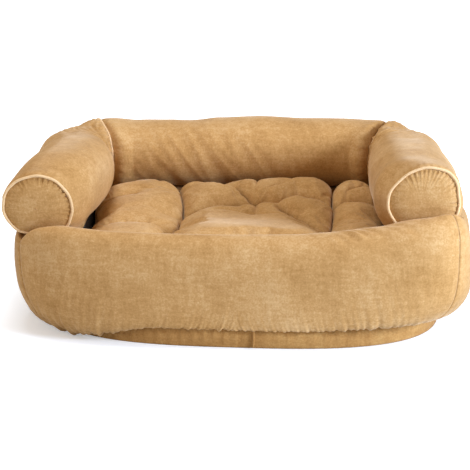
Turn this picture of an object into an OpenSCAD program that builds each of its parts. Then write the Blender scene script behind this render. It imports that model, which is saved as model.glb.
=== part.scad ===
// Dog sofa bed: a soft-walled base with a tufted pillow in its well, two stuffed
// arms and a stuffed back on the wall. The front faces -Y, and the origin is the
// centre of the footprint on the floor. Sizes are in millimetres.

/* [Overall] */
// Width of the base wall at its fullest
bed_w = 930; // [840:5:1020]
// Depth of the base wall at its fullest
bed_d = 640; // [600:5:700]
// Height of the wall's rim
wall_h = 222; // [200:1:240]

/* [Base] */
// Height of the gathered band round the bottom
band_h = 42; // [30:1:55]
// Depth of the band's gathers
pleat_d = 1.2; // [0.4:0.1:2]
// Number of gathers round the band
pleat_count = 52; // [30:2:70]
// How far the wall is tucked under at each side
tuck_side = 58; // [50:1:90]
// How far the wall is tucked under at the front and rear
tuck_front = 20; // [6:1:30]
// How far the rim is rolled in from the wall's fullest line
rim_roll = 27; // [20:1:34]
// How much higher the front rim is stuffed at its right end
rim_rise = 50; // [0:1:60]
// Thickness of the front wall
front_wall_t = 75; // [65:1:90]
// Height of the well's floor
floor_h = 90; // [75:1:105]
// Seam from the front panel to the rear panel, as an angle from the side
seam_angle = 27; // [20:1:34]

/* [Bolsters] */
// Diameter of the arms and the back
bolster_d = 150; // [130:1:160]
// Height of a bolster's axis above the rim
bolster_sit = 57; // [50:1:70]
// Gap in plan from the wall's fullest line to the bolsters
bolster_inset = 4; // [0:1:10]
// Radius of a bolster's axis where it bends at the rear corner
bend_r = 104; // [96:1:125]
// How far the arm bends inward before its seam with the back, in degrees
arm_bend = 60; // [50:1:70]
// Distance from the base's front to the arms' front seams
arm_setback = 86; // [80:1:110]
// Length over which a bolster is drawn in to its seam
draw_l = 22; // [14:1:28]
// How far a bolster is drawn in at its seam
draw_d = 6; // [3:0.5:9]
// Height of the stuffed front caps of the arms
cap_dome = 6; // [3:0.5:10]
// Diameter of the piping
piping_d = 5.6; // [4:0.2:7]

/* [Pillow] */
// Thickness of the pillow at its crown
pillow_t = 148; // [120:1:155]
// Room between the pillow and what stands round it
pillow_gap = 5; // [4:0.5:12]
// Height of the pillow's seam above its underside
pillow_seam_h = 66; // [50:1:74]
// Depth of the tufts in the top
tuft_d = 40; // [20:1:50]
// Width of the valleys that run between the tufts
valley_w = 34; // [20:1:60]
// Diameter of a tuft tie
tie_d = 3; // [2:0.5:4]

/* [Fabric] */
// Thickness of the cover fabric
fabric_t = 1.6; // [1:0.1:2.4]
// Thickness of the bottom cloth
bottom_t = 2; // [1.5:0.1:3]
// Clearance between pieces that only touch
clear = 0.3; // [0.2:0.05:0.5]

/* [Zips] */
// Length of the zips in the arms
arm_zip_l = 230; // [150:5:250]
// Length of the zip in the back
back_zip_l = 320; // [200:5:360]
// Length of the zip in the pillow
pillow_zip_l = 260; // [180:5:270]
// Angle of a bolster's zip below the level of its axis
zip_tilt = 25; // [15:1:32]
// Width of a zip's two tapes together
tape_w = 26; // [20:1:28]
// Thickness of a zip's tape
tape_t = 0.8; // [0.6:0.1:1.2]
// Width of the closed coil
coil_w = 5; // [4:0.5:7]
// Height of the coil above its tape
coil_h = 2.4; // [2:0.1:2.6]
// Length of the pull tabs
pull_l = 24; // [18:1:30]

/* [Hidden] */
$fn = 64;
// How far a cut runs past what it cuts
over = 10;

// Colours of the finishes
suede = "#c9a267";
suede_dark = "#b98c52";
piping_cream = "#ecd2a2";
lining_black = "#1d1b1a";
foam_white = "#eee6d2";
fibre_white = "#f6f4ee";
zip_tan = "#a98350";
brass = "#8d7442";

// The bolsters' axis runs back along each arm, bends at the rear corner, is
// straight across the seam there, bends again and runs along the back, all at one
// height. The two bends' centres are for the right rear corner.
bolster_r = bolster_d / 2;
axis_z = wall_h + bolster_sit;
piping_r = piping_d / 2;
rim_r = bolster_r - draw_d;
piped_cap_r = rim_r - piping_r - clear;
// How far a cover's cloth stops short of a piped seam and of a plain one
front_stop = piping_r + clear;
rear_stop = fabric_t / 2 + clear;
seam_gap = piping_r + clear + fabric_t / 2;
seam_run = 2 * draw_l + front_stop + rear_stop + seam_gap;
arm_x = bed_w / 2 - bolster_r - bolster_inset;
back_y = bed_d / 2 - bolster_r - bolster_inset;
arm_front_y = arm_setback - bed_d / 2;
back_bend = [arm_x - bend_r - seam_run * sin(arm_bend), back_y - bend_r];
arm_bend_at = [arm_x - bend_r, back_bend[1] - seam_run * cos(arm_bend)];
seam_normal = [cos(arm_bend), sin(arm_bend)];
// Where the seam's stitches hold the end, it steps in by this much
seam_step = 0.2;
seam_lap = 1;

// Depth of a zip's tape below the outside of a round cover
cover_in_r = bolster_r - fabric_t;
tape_sag = cover_in_r - sqrt(pow(cover_in_r, 2) - pow(tape_w / 2, 2));
tape_top = fabric_t + tape_sag + clear / 2;
fill_r = bolster_r - tape_top - tape_t - clear;
tape_run_on = 8;

// The slider runs over the coil in a slot of the cover, and its pull hangs on a
// pin under a bridge
slider_l = 10;
rail_t = 1.1;
rail_gap = 0.4;
slider_w = coil_w + 2 * (rail_t + rail_gap);
// Room that the slot leaves the slider, at both sides together
slot_room = 1.4;
slot_w = slider_w + slot_room;
plate_t = 1.4;
plate_z = 0.1;
end_stop = 2;
bridge_w = 2.4;
bridge_t = 1;
bridge_l = 8;
pin_r = 0.6;
pin_gap = 0.4;
pin_z = plate_z + plate_t + pin_gap + pin_r;
bridge_z = pin_z + pin_r + pin_gap;
pull_w = 7.4;
pull_side = 1.3;
pull_t = 1.2;
pull_eye_l = 6.6;

// Outlines in plan: half width, reach to the front, reach to the rear, and
// squareness at the rear and at the front, where 2 is an ellipse and more is squarer
foot_square = 2.4;
bulge_square = 4.6;
bulge_front_square = 5.6;
rim_square = 5.5;
rim_front_square = 8;
well_square = 4.5;
pillow_square = 5;
// How far the well's sides stand back from the bolsters' inner faces
well_back = 3;
foot = [bed_w / 2 - tuck_side, bed_d / 2 - tuck_front, bed_d / 2 - tuck_front,
    foot_square, foot_square];
bulge = [bed_w / 2, bed_d / 2, bed_d / 2, bulge_square, bulge_front_square];
rim = [bed_w / 2 - rim_roll, bed_d / 2 - rim_roll, bed_d / 2 - rim_roll,
    rim_square, rim_front_square];
well = [arm_x - bolster_r + well_back, bed_d / 2 - front_wall_t,
    back_y - bolster_r + well_back, well_square, well_square];
outlines = [foot, bulge, rim, well];
band_outline = inset_outline(foot, 2 * pleat_d);

// The wall's section, from its bottom edge up the outside, over the rim and down
// into the well. Each row holds two outlines, its share of the way between them,
// its share of the wall's height, and the shares of a thickness that its inside
// lies inward and downward.
section_shares = [
    [0, 1, 0.00, 0.00, 1.0, 0.0],
    [0, 1, 0.62, 0.10, 0.9, -0.4],
    [0, 1, 0.94, 0.31, 1.0, -0.1],
    [1, 2, 0.06, 0.62, 1.0, 0.0],
    [1, 2, 0.36, 0.86, 0.9, 0.4],
    [1, 2, 0.74, 0.96, 0.6, 0.8],
    [2, 3, 0.03, 1.00, 0.1, 1.0],
    [2, 3, 0.16, 1.00, 0.0, 1.0],
    [2, 3, 0.36, 0.98, 0.0, 1.0],
    [2, 3, 0.58, 0.96, 0.0, 1.0],
    [2, 3, 0.80, 0.93, -0.4, 1.0],
    [2, 3, 1.00, 0.84, -1.0, 0.3],
    [2, 3, 1.00, 0.02, -1.0, 0.0]];
// The front rim begins to rise and stands highest at these shares of the half
// width. Its rise reaches round the corner between two shares of the half depth, and
// down the wall to a share of its height.
rise_from_share = 0.2;
rise_to_share = 0.95;
rise_side_shares = [0.66, 0.9];
rise_foot_share = 0.5;
// Stations round the wall in the front panel and in the rear panel
front_steps = 26;
rear_steps = 34;
// They stand closer round the corners, which are at the ends of the front panel
// and a quarter of the way in from the ends of the rear one
crowding = 0.55;
front_angles = [for (i = [0:front_steps])
    let (t = i / front_steps, at = t - crowding / (2 * PI) * sin(360 * t))
    -180 + seam_angle + (180 - 2 * seam_angle) * at];
rear_angles = [for (i = [0:rear_steps])
    let (t = i / rear_steps, at = t + crowding / (4 * PI) * sin(720 * t))
    -seam_angle + (180 + 2 * seam_angle) * at];
stations = concat([for (i = [0:front_steps - 1]) front_angles[i]],
    [for (i = [0:rear_steps - 1]) rear_angles[i]]);
base_steps = 96;
base_angles = [for (i = [0:base_steps - 1]) 360 * i / base_steps];
// Room under the round bolsters for the wall's flat facets
saddle_room = 3.7;
// The arm's saddle runs on past its front cap and then rises to the rim
saddle_run = 16;
saddle_rise = 34;

// The pillow lies on the lining in the well and lifts out between the bolsters
pillow_half_w = arm_x - bolster_r - pillow_gap;
pillow_front = bed_d / 2 - front_wall_t - pillow_gap;
pillow_rear = back_y - bolster_r - pillow_gap;
pillow_half_d = (pillow_front + pillow_rear) / 2;
pillow_mid_y = (pillow_rear - pillow_front) / 2;
pillow_z = floor_h + fabric_t + 2 * clear;
seam_z = pillow_z + pillow_seam_h;
crown_h = pillow_t - pillow_seam_h;
// How squarely the top and the underside run out to the pillow's seam
top_square = 8;
under_square = 9;
pillow_steps = [22, 14];
// Shares of the tufts' depth in the valleys and at the ties
valley_share = 0.5;
tie_share = 0.5;
// Ties, as shares of the pillow's half width and half depth
tuft_shares = [[-0.415, 0.67], [0.114, 0.52], [0.667, 0.41], [-0.428, -0.34], [0.64, -0.34]];
// Crowns of the lobes between the valleys, as the same shares
lobe_shares = [[-0.667, 0.32], [-0.768, -0.63], [-0.147, 0.80], [-0.196, 0.30], [0.376, 0.75],
    [0.408, 0.17], [0.114, -0.55], [0.83, 0.75], [0.833, -0.20], [0.84, -0.72]];
// The pillow's zip lies this much deeper than a bolster's, because the seam curves
zip_sink = 3;

function mix(a, b, share) = a * (1 - share) + b * share;

// 0 below from, 1 above to, and smooth between
function ease(x, from, to) =
    let (t = max(0, min(1, (x - from) / (to - from)))) t * t * (3 - 2 * t);

// A point of an outline at an angle about its own centre
function outline_point(o, angle) =
    let (square = sin(angle) > 0 ? o[3] : o[4],
        across = pow(abs(cos(angle)) / o[0], square),
        along = pow(abs(sin(angle)) / ((o[1] + o[2]) / 2), square),
        r = 1 / pow(across + along, 1 / square))
    [r * cos(angle), r * sin(angle) + (o[2] - o[1]) / 2];

function inset_outline(o, by) = [o[0] - by, o[1] - by, o[2] - by, o[3], o[4]];

// Distance in plan from the bolsters' axis
function axis_distance(x, y) =
    let (from_arm = [abs(x), y] - arm_bend_at,
        from_back = [abs(x), y] - back_bend)
    from_arm[1] < 0 ? abs(abs(x) - arm_x)
    : from_back[0] < 0 ? abs(y - back_y)
    : atan2(from_arm[1], from_arm[0]) < arm_bend ? abs(norm(from_arm) - bend_r)
    : atan2(from_back[1], from_back[0]) > arm_bend ? abs(norm(from_back) - bend_r)
    : abs(from_arm * seam_normal - bend_r);

// Height of the hollow that the bolsters press into the wall
function saddle_z(x, y) =
    let (q = axis_distance(x, y),
        r = bolster_r + saddle_room,
        hollow = q < r ? axis_z - sqrt(r * r - q * q) : axis_z,
        ahead = arm_front_y - cap_dome - saddle_run - y)
    hollow + max(0, ahead) / saddle_rise * bolster_r;

// How much the stuffing lifts the wall at a place and a share of its height
function rim_lift(p, height_share) =
    let (across = p[0] / (bed_w / 2), ahead = -p[1] / (bed_d / 2))
    rim_rise * ease(across, rise_from_share, rise_to_share)
        * ease(ahead, rise_side_shares[0], rise_side_shares[1])
        * ease(height_share, rise_foot_share, 1);

function wall_point(row, angle, in) =
    let (o = inset_outline(mix(outlines[row[0]], outlines[row[1]], row[2]), in * row[4]),
        p = outline_point(o, angle),
        z = min(band_h + (wall_h - band_h) * row[3] + rim_lift(p, row[3]),
            saddle_z(p[0], p[1])))
    [p[0], p[1], max(z - in * row[5], band_h + clear)];

function wall_grid(angles, in) =
    [for (a = angles) [for (row = section_shares) wall_point(row, a, in)]];

// A closed sheet between two grids of points of the same size. Seen from the face,
// the grid's lines run to the right and the points of a line run up.
module sheet(face, back) {
    n = len(face);
    m = len(face[0]);
    function at(side, i, j) = side * n * m + i * m + j;
    function quad(a, b, c, d) = [[a, b, c], [a, c, d]];
    points = [for (side = [face, back]) for (line = side) for (p = line) p];
    skins = [for (i = [0:n - 2]) for (j = [0:m - 2]) each concat(
        quad(at(0, i, j), at(0, i, j + 1), at(0, i + 1, j + 1), at(0, i + 1, j)),
        quad(at(1, i, j), at(1, i + 1, j), at(1, i + 1, j + 1), at(1, i, j + 1)))];
    ends = [for (j = [0:m - 2]) each concat(
        quad(at(0, 0, j), at(1, 0, j), at(1, 0, j + 1), at(0, 0, j + 1)),
        quad(at(0, n - 1, j), at(0, n - 1, j + 1), at(1, n - 1, j + 1), at(1, n - 1, j)))];
    edges = [for (i = [0:n - 2]) each concat(
        quad(at(0, i, 0), at(0, i + 1, 0), at(1, i + 1, 0), at(1, i, 0)),
        quad(at(0, i, m - 1), at(1, i, m - 1), at(1, i + 1, m - 1), at(0, i + 1, m - 1)))];
    polyhedron(points, concat(edges, ends, skins), convexity = 8);
}

// A closed ring whose sections are the lines of a grid
module ring(grid) {
    n = len(grid);
    m = len(grid[0]);
    function at(i, j) = (i % n) * m + j % m;
    faces = [for (i = [0:n - 1]) for (j = [0:m - 1]) each [
        [at(i, j), at(i, j + 1), at(i + 1, j + 1)],
        [at(i, j), at(i + 1, j + 1), at(i + 1, j)]]];
    polyhedron([for (line = grid) for (p = line) p], faces, convexity = 8);
}

module slab(o, z, t, angles) {
    translate([0, 0, z]) linear_extrude(t) polygon([for (a = angles) outline_point(o, a)]);
}

module bottom_panel() {
    panel = inset_outline(band_outline, pleat_d + fabric_t + clear);
    color(lining_black) slab(panel, 0, bottom_t, base_angles);
}

// The gathered band stands round the bottom, just inside the wall's lower edge
module band() {
    points_per_pleat = 4;
    steps = pleat_count * points_per_pleat;
    function pleated(o) = [for (i = [0:steps - 1])
        let (a = 360 * i / steps)
        outline_point(inset_outline(o, pleat_d * cos(pleat_count * a)), a)];
    color(suede_dark) translate([0, 0, clear]) linear_extrude(band_h - 2 * clear) difference() {
        polygon(pleated(band_outline));
        polygon(pleated(inset_outline(band_outline, fabric_t)));
    }
}

// The folded seam that closes the band stands out at the front
module band_seam_tab() {
    tab_x = 44;
    tab_w = 3.4;
    tab_reach = 4.5;
    tab_h = band_h - 4 * clear;
    front = outline_point(band_outline, -90 + atan(tab_x / band_outline[1]));
    color(piping_cream) translate([tab_x, front[1] - pleat_d - clear, 2 * clear]) {
        translate([0, -tab_reach / 2, tab_h / 2]) cube([tab_w, tab_reach, tab_h], center = true);
        translate([0, -tab_reach, 0]) cylinder(d = tab_w, h = tab_h);
    }
}

module base_foam() {
    color(foam_white) slab(inset_outline(band_outline, pleat_d + fabric_t + clear),
        bottom_t + clear, band_h - bottom_t - 2 * clear, base_angles);
}

module seat_foam() {
    color(foam_white) slab(inset_outline(well, clear),
        band_h + clear, floor_h - band_h - 2 * clear, stations);
}

module seat_lining() {
    color(lining_black) slab(inset_outline(well, clear), floor_h, fabric_t, stations);
}

module wall_fill() {
    color(fibre_white) ring(wall_grid(stations, fabric_t + clear));
}

module wall_cover(angles) {
    color(suede) sheet(wall_grid(angles, 0), wall_grid(angles, fabric_t));
}

// A bolster's end of radius r, drawn in to its seam. It is shorter by short, and its
// mouth runs on by past.
module bolster_end(r, short, past) {
    turns = 8;
    start_r = r - seam_step;
    draw = draw_d - seam_step;
    l = draw_l - short;
    rotate_extrude() polygon(concat([[0, -seam_lap], [start_r, -seam_lap]],
        [for (i = [0:turns]) let (a = 90 * i / turns)
            [start_r - draw * (1 - cos(a)), l * sin(a)]],
        [[r - draw_d, l + past], [0, l + past]]));
}

// Places on the straight run across the right rear seam, at a distance from where
// the arm's bend ends, with Z along the axis towards the back
module on_seam_run(at) {
    translate([arm_bend_at[0], arm_bend_at[1], axis_z]) rotate([0, 0, arm_bend])
        translate([bend_r, at, 0]) rotate([-90, 0, 0]) children();
}

module at_arm_seam() {
    on_seam_run(draw_l + rear_stop) children();
}

module at_back_seam() {
    on_seam_run(seam_run - draw_l - front_stop) children();
}

module at_arm_front(y = arm_front_y) {
    translate([arm_x, y, axis_z]) rotate([90, 0, 0]) children();
}

module bent_tube(r, angle) {
    rotate_extrude(angle = angle) translate([bend_r, 0]) circle(r = r);
}

// The right arm's body of radius r. Its ends are shorter by short, and its mouths
// run on by past.
module arm_body(r, short, past) {
    front_y = arm_front_y + front_stop + draw_l;
    translate([arm_x, front_y, axis_z]) rotate([-90, 0, 0])
        cylinder(r = r, h = arm_bend_at[1] - front_y);
    translate([arm_bend_at[0], arm_bend_at[1], axis_z]) bent_tube(r, arm_bend);
    at_arm_front(front_y) bolster_end(r, short, past);
    on_seam_run(0) bolster_end(r, short, past);
}

// The back's body, made in the same way
module back_body(r, short, past) {
    translate([-back_bend[0], back_y, axis_z]) rotate([0, 90, 0])
        cylinder(r = r, h = 2 * back_bend[0]);
    both_sides() {
        translate([back_bend[0], back_bend[1], axis_z]) rotate([0, 0, 90]) mirror([0, 1, 0])
            bent_tube(r, 90 - arm_bend);
        on_seam_run(seam_run) mirror([0, 0, 1]) bolster_end(r, short, past);
    }
}

module both_sides() {
    children();
    mirror([1, 0, 0]) children();
}

module piping_ring() {
    color(piping_cream) rotate_extrude() translate([rim_r, 0]) circle(r = piping_r);
}

// The cap inside the arm's piping is a shallow dome of cloth
module domed_cap() {
    ball_r = (piped_cap_r * piped_cap_r + cap_dome * cap_dome) / (2 * cap_dome);
    color(suede) intersection() {
        translate([0, 0, cap_dome - ball_r]) difference() {
            sphere(r = ball_r, $fn = 128);
            sphere(r = ball_r - fabric_t, $fn = 128);
        }
        translate([0, 0, -fabric_t]) cylinder(r = piped_cap_r, h = cap_dome + 2 * fabric_t);
    }
}

module flat_cap(r) {
    color(suede) translate([0, 0, -fabric_t / 2]) cylinder(r = r, h = fabric_t);
}

// Places on the covers: Y runs along the zip and Z points out of the cover
module on_arm() {
    mid_y = (arm_front_y + arm_bend_at[1]) / 2;
    translate([arm_x, mid_y, axis_z]) rotate([0, 90 + zip_tilt, 0])
        translate([0, 0, bolster_r]) children();
}

module on_back() {
    translate([0, back_y, axis_z]) rotate([0, 0, 90]) rotate([0, 90 + zip_tilt, 0])
        translate([0, 0, bolster_r]) children();
}

module on_pillow() {
    translate([0, pillow_rear - zip_sink, seam_z]) rotate([-90, 0, 0]) rotate([0, 0, 90])
        children();
}

module zip_slot(l) {
    depth = tape_top + clear / 2;
    translate([-slot_w / 2, -l / 2, -depth]) cube([slot_w, l, depth + over]);
}

// Both tapes with the closed coil between them
module zip(l) {
    half_coil = coil_w / 2;
    color(zip_tan) {
        translate([-tape_w / 2, -l / 2 - tape_run_on, -tape_top - tape_t])
            cube([tape_w, l + 2 * tape_run_on, tape_t]);
        translate([0, l / 2, -tape_top]) rotate([90, 0, 0]) linear_extrude(l)
            polygon([[-half_coil, -tape_t / 2], [half_coil, -tape_t / 2], [half_coil, coil_h / 2],
                [half_coil / 2, coil_h], [-half_coil / 2, coil_h], [-half_coil, coil_h / 2]]);
    }
}

module at_closed_end(l) {
    translate([0, (l - slider_l) / 2 - end_stop, 0]) children();
}

// The slider's plate and rails wrap the coil, and a bridge stands on the plate
module zip_slider(l) {
    rail_h = plate_z + plate_t + tape_top - clear;
    post_h = bridge_z + bridge_t - plate_z - plate_t / 2;
    color(brass) at_closed_end(l) {
        translate([-slider_w / 2, -slider_l / 2, plate_z]) cube([slider_w, slider_l, plate_t]);
        translate([-bridge_w / 2, -bridge_l / 2, bridge_z]) cube([bridge_w, bridge_l, bridge_t]);
        for (side = [-1, 1]) {
            translate([side * (slider_w - rail_t) / 2, 0, plate_z + plate_t - rail_h / 2])
                cube([rail_t, slider_l, rail_h], center = true);
            translate([0, side * (bridge_l - bridge_t) / 2, bridge_z + bridge_t - post_h / 2])
                cube([bridge_w, bridge_t, post_h], center = true);
        }
    }
}

// The pull's eye goes round the bridge, and its tab lies back along the zip
module zip_pull(l) {
    eye_in = pull_eye_l - pull_side / 2;
    color(brass) at_closed_end(l) translate([0, 0, pin_z]) {
        rotate([0, 90, 0]) cylinder(r = pin_r, h = pull_w, center = true);
        for (side = [-1, 1])
            translate([side * (pull_w - pull_side) / 2, -pull_eye_l / 2, 0])
                cube([pull_side, pull_eye_l, pull_t], center = true);
        translate([0, -(eye_in + pull_l) / 2, 0])
            cube([pull_w, pull_l - eye_in, pull_t], center = true);
        translate([0, -pull_l, -pull_t / 2]) cylinder(d = pull_w, h = pull_t);
    }
}

module arm_cover() {
    color(suede) difference() {
        arm_body(bolster_r, 0, 0);
        arm_body(cover_in_r, 0, over);
        on_arm() zip_slot(arm_zip_l);
    }
}

module arm_fill() {
    color(fibre_white) arm_body(fill_r, clear, 0);
}

module back_cover() {
    color(suede) difference() {
        back_body(bolster_r, 0, 0);
        back_body(cover_in_r, 0, over);
        on_back() zip_slot(back_zip_l);
    }
}

module back_fill() {
    color(fibre_white) back_body(fill_r, clear, 0);
}

function pillow_place(share) =
    [share[0] * pillow_half_w, share[1] * pillow_half_d + pillow_mid_y];

// 0 in the middle of the pillow's plan and 1 at its seam
function plan_share(p) =
    pow(pow(abs(p[0]) / pillow_half_w, pillow_square)
        + pow(abs(p[1] - pillow_mid_y) / pillow_half_d, pillow_square), 1 / pillow_square);

function fullness(p, square) = sqrt(max(0, 1 - pow(plan_share(p), square)));

// 1 in the valley between two lobes and 0 on their crowns
function valley(p) =
    let (d = [for (s = lobe_shares) norm(p - pillow_place(s))],
        nearest = min(d),
        next = min([for (v = d) if (v > nearest) v]))
    exp(-pow((next - nearest) / valley_w, 2));

function near_tie(p) =
    let (nearest = min([for (s = tuft_shares) norm(p - pillow_place(s))]))
    exp(-pow(nearest / valley_w, 2));

function pillow_top_z(p, in) =
    let (dip = tuft_d * (valley_share * valley(p) + tie_share * near_tie(p)))
    seam_z + clear / 2 + max(0, (crown_h - dip) * fullness(p, top_square) - in);

function pillow_under_z(p, in) =
    seam_z - clear / 2 - max(0, pillow_seam_h * fullness(p, under_square) - in);

// A grid over the pillow's plan, closer towards the seam. Its faces lie in from the
// cover's outside by in, and further by sink where the pillow is thick.
function pillow_grid(in, top, sink = 0) =
    [for (i = [0:pillow_steps[0]]) [for (j = [0:pillow_steps[1]])
        let (u = spread(i, pillow_steps[0]), v = spread(j, pillow_steps[1]),
            m = max(abs(u), abs(v)),
            round_norm = pow(pow(abs(u), pillow_square) + pow(abs(v), pillow_square),
                1 / pillow_square),
            k = m == 0 ? 0 : m / round_norm,
            p = [u * k * pillow_half_w, v * k * pillow_half_d + pillow_mid_y],
            z = top ? pillow_top_z(p, in + sink) : pillow_under_z(p, in + sink))
        [u * k * (pillow_half_w - in), v * k * (pillow_half_d - in) + pillow_mid_y, z]]];

function spread(i, steps) = sin(90 * (2 * i / steps - 1));

// Rods where the ties are, from inside the lower panel to inside the upper one, run
// on at both ends by more
module tie_rods(d, more) {
    for (s = tuft_shares) {
        p = pillow_place(s);
        low = pillow_under_z(p, fabric_t + 3 * clear) - more;
        top = pillow_top_z(p, fabric_t + 3 * clear) + more;
        translate([p[0], p[1], low]) cylinder(d = d, h = top - low);
    }
}

module pillow_top() {
    color(suede) difference() {
        sheet(pillow_grid(0, true), pillow_grid(fabric_t, true));
        on_pillow() zip_slot(pillow_zip_l);
    }
}

module pillow_bottom() {
    color(suede) difference() {
        sheet(pillow_grid(fabric_t, false), pillow_grid(0, false));
        on_pillow() zip_slot(pillow_zip_l);
    }
}

module pillow_fill() {
    in = fabric_t + clear;
    room_w = tape_w + 2 * clear;
    room_l = pillow_zip_l + 2 * (tape_run_on + clear);
    depth = tape_top + tape_t + clear;
    color(fibre_white) difference() {
        sheet(pillow_grid(in, true, 2 * clear), pillow_grid(in, false, 2 * clear));
        tie_rods(tie_d + 2 * clear, over);
        on_pillow() translate([-room_w / 2, -room_l / 2, -depth]) cube([room_w, room_l, depth + over]);
    }
}

// The ties tack the inside of one panel to the inside of the other
module tuft_ties() {
    color(suede_dark) tie_rods(tie_d, 0);
}

bottom_panel();
band();
band_seam_tab();
base_foam();
seat_foam();
seat_lining();
wall_fill();
wall_cover(front_angles);  // front_wall_cover
wall_cover(rear_angles);  // rear_wall_cover

arm_cover();  // right_arm_cover
at_arm_front() domed_cap();  // right_arm_front_cap
at_arm_seam() flat_cap(rim_r);  // right_arm_rear_cap
at_arm_front() piping_ring();  // right_arm_piping
arm_fill();  // right_arm_fill
on_arm() zip(arm_zip_l);  // right_arm_zip
on_arm() zip_slider(arm_zip_l);  // right_arm_slider
on_arm() zip_pull(arm_zip_l);  // right_arm_pull

mirror([1, 0, 0]) arm_cover();  // left_arm_cover
mirror([1, 0, 0]) at_arm_front() domed_cap();  // left_arm_front_cap
mirror([1, 0, 0]) at_arm_seam() flat_cap(rim_r);  // left_arm_rear_cap
mirror([1, 0, 0]) at_arm_front() piping_ring();  // left_arm_piping
mirror([1, 0, 0]) arm_fill();  // left_arm_fill
mirror([1, 0, 0]) on_arm() zip(arm_zip_l);  // left_arm_zip
mirror([1, 0, 0]) on_arm() zip_slider(arm_zip_l);  // left_arm_slider
mirror([1, 0, 0]) on_arm() zip_pull(arm_zip_l);  // left_arm_pull

back_cover();
at_back_seam() flat_cap(piped_cap_r);  // back_right_cap
mirror([1, 0, 0]) at_back_seam() flat_cap(piped_cap_r);  // back_left_cap
at_back_seam() piping_ring();  // back_right_piping
mirror([1, 0, 0]) at_back_seam() piping_ring();  // back_left_piping
back_fill();
on_back() zip(back_zip_l);  // back_zip
on_back() zip_slider(back_zip_l);  // back_slider
on_back() zip_pull(back_zip_l);  // back_pull

pillow_top();
pillow_bottom();
pillow_fill();
tuft_ties();
on_pillow() zip(pillow_zip_l);  // pillow_zip
on_pillow() zip_slider(pillow_zip_l);  // pillow_slider
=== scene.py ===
"""A dog sofa bed, dressed for rendering: a stuffed wall round a well, two arm bolsters
and a back bolster with corded seams, and a tufted pillow. Lengths are in metres, with
X to the right, Y to the back and Z up."""

from math import cos, pi, radians, sin

import bmesh
import bpy
import numpy as np
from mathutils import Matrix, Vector, noise


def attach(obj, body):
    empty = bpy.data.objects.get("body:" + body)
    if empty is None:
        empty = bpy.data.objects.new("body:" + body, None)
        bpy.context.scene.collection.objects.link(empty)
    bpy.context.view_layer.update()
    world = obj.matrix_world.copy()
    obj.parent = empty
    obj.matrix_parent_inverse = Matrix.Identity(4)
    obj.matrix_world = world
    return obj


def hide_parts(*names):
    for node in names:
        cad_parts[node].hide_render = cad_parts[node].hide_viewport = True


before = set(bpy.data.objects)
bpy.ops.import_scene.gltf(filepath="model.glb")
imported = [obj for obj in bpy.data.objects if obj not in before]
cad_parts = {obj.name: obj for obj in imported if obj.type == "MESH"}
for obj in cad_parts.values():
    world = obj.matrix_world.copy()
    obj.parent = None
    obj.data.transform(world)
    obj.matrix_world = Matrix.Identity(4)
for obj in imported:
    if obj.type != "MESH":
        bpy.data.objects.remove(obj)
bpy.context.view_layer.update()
MM = 0.001

# The bolsters' axis, as in the part: along each arm, round the rear corner and along
# the back, with a straight run across the seam in the corner
BOLSTER_R = 75 * MM
AXIS_Z = 279 * MM
ARM_X = 386 * MM
BACK_Y = 241 * MM
FRONT_Y = -234 * MM
BEND_R = 104 * MM
BEND_ANGLE = radians(60)
ARM_BEND = np.array([282.0, 110.95]) * MM
BACK_BEND = np.array([236.9, 137.0]) * MM
SEAM_RUN = 52.1 * MM
# Where the covers end on that run: the arm's rear seam and the back's corded seam
ARM_SEAM = 23.1 * MM
BACK_SEAM = 27.0 * MM
# How deep a cover is drawn in at its seams, and over what length
DRAW_D = 6 * MM
DRAW_L = 22 * MM
CAP_R = BOLSTER_R - DRAW_D
CORD_R = 2.9 * MM
CLOTH_T = 1.6 * MM

# The zips, below each bolster's outer side, and the slot that shows them
ZIP_TILT = radians(25)
ZIP_SHARE = 1 - ZIP_TILT / (2 * pi)
ZIP_SLOT_D = 4.3 * MM
ARM_ZIP_L = 230 * MM
BACK_ZIP_L = 320 * MM

# How far each arm leans inward: places along Y and the lean there, in millimetres
LEFT_LEAN = ([-240, -190, -150, -85, 0, 50, 85, 115, 145], [-2, 3, 10, 18, 26, 28, 20, 8, 0])
RIGHT_LEAN = ([-200, -150, -20, 40, 80, 130, 170, 200], [0, 3, 8, 9, 8, 5, 0, -6])

# The base: how it is turned and set under the bolsters, and its band's half width,
# front and rear in millimetres and squareness at the front and at the rear
BASE_TURN = radians(-2.4)
BASE_SHIFT = 24 * MM
BAND_H = 42 * MM
BAND_FRONT = 305
BAND_OUTLINE = (405, BAND_FRONT, 295)
BAND_SQUARE = 2.9
BAND_REAR_SQUARE = 2.5
# The upright seams between the front and rear panels, in degrees about the middle, and
# the length round the wall
SEAM_TURNS = (-31, 211)
WALL_GIRTH = 2.9
# The part of the wall that is lined in black, in height and in plan
LINED_Z = (60 * MM, 188 * MM)
LINED_X = 322 * MM
LINED_Y = (-252 * MM, 178 * MM)

# The pillow: half its width and depth, its middle, its squareness, and the heights of
# its underside and its seam
PILLOW_W = 310 * MM
PILLOW_D = 200.5 * MM
PILLOW_Y = -39.5 * MM
PILLOW_SQUARE = 6.5
PILLOW_Z = 92.2 * MM
SEAM_Z = 158.2 * MM
# A crease deeper than this goes that much deeper still, in millimetres
DEEP_CREASE = 30
DEEPER_BY = 12
# The slot at the pillow's zip: its depth, and where it begins to end and ends
PILLOW_SLOT_D = 5.5 * MM
PILLOW_SLOT_ENDS = (131 * MM, 137 * MM)


# Materials
def linear(colour):
    """The linear RGBA of an sRGB hex value."""
    parts = [int(colour[i : i + 2], 16) / 255 for i in (1, 3, 5)]
    return [c / 12.92 if c <= 0.04045 else ((c + 0.055) / 1.055) ** 2.4 for c in parts] + [1]


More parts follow.
